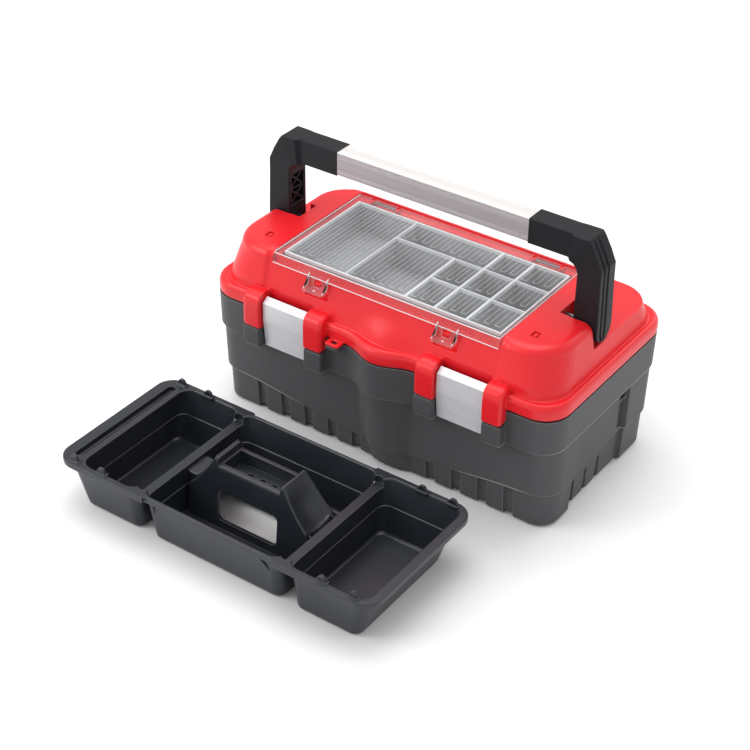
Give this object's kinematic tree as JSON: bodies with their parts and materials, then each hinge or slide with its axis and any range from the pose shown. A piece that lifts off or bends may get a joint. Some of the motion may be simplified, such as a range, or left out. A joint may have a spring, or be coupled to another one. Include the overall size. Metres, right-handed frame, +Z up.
{
  "type": "toolbox with tray",
  "caption": "plastic toolbox with a hinged lid holding a clear-covered parts organizer, folding carrying handle, swing latches and a lift-out compartment tray set down in front",
  "frame": {"origin": "on the floor, at the middle of the box's footprint (the flat underside of the base)", "axes": "+Z up; +X to the right along the front; -Y out of the latched front, towards the tray"},
  "size_m": [0.471, 0.5155, 0.3173],
  "materials": {
    "base_plastic": "fine-grained dark grey polypropylene, matt",
    "lid_plastic": "bright red polypropylene, soft sheen",
    "handle_plastic": "near-black plastic, satin",
    "tray_plastic": "slate black plastic, satin with a blue cast",
    "bar_aluminium": "extruded, fine lengthwise grooves, natural anodised",
    "latch_aluminium": "satin anodised sheet",
    "pin_steel": "plain drawn steel",
    "cover_plastic": "clear polycarbonate or styrene with fine moulded lines",
    "bin_plastic": "milky translucent grey plastic"
  },
  "bodies": {
    "base": {"base_shell": "base_plastic", "lid_hinge_pin_left": "pin_steel", "lid_hinge_pin_right": "pin_steel"},
    "lid": {"lid_shell": "lid_plastic", "organizer_bin": "bin_plastic", "handle_pin_left": "pin_steel", "handle_pin_right": "pin_steel", "latch_pin_left": "pin_steel", "latch_pin_right": "pin_steel", "cover_pin_left": "pin_steel", "cover_pin_right": "pin_steel"},
    "handle": {"handle_arm_left": "handle_plastic", "handle_arm_right": "handle_plastic", "handle_bar": "bar_aluminium"},
    "latch_left": {"latch_plate_left": "latch_aluminium", "latch_carrier_left": "handle_plastic"},
    "latch_right": {"latch_plate_right": "latch_aluminium", "latch_carrier_right": "handle_plastic"},
    "cover": {"organizer_cover": "cover_plastic"},
    "tray": {"tray": "tray_plastic"}
  },
  "joints": [
    {"name": "lid_hinge", "type": "hinge", "parent": "base", "child": "lid", "pos_m": [0, 0.131, 0.15], "axis": [-1, 0, 0], "range_deg": [0, 100]},
    {"name": "handle_fold", "type": "hinge", "parent": "lid", "child": "handle", "pos_m": [0, -0.009, 0.2105], "axis": [-1, 0, 0], "range_deg": [0, 90]},
    {"name": "latch_left_swing", "type": "hinge", "parent": "lid", "child": "latch_left", "pos_m": [-0.11735, -0.1243, 0.1635], "axis": [-1, 0, 0], "range_deg": [0, 110]},
    {"name": "latch_right_swing", "type": "hinge", "parent": "lid", "child": "latch_right", "pos_m": [0.11735, -0.1243, 0.1635], "axis": [-1, 0, 0], "range_deg": [0, 110]},
    {"name": "cover_hinge", "type": "hinge", "parent": "lid", "child": "cover", "pos_m": [0, 0.0565, 0.219], "axis": [-1, 0, 0], "range_deg": [0, 38]},
    {"name": "tray_lift", "type": "slide", "parent": "base", "child": "tray", "axis": [0, 0, 1], "range_m": [0, 0.3]}
  ]
}
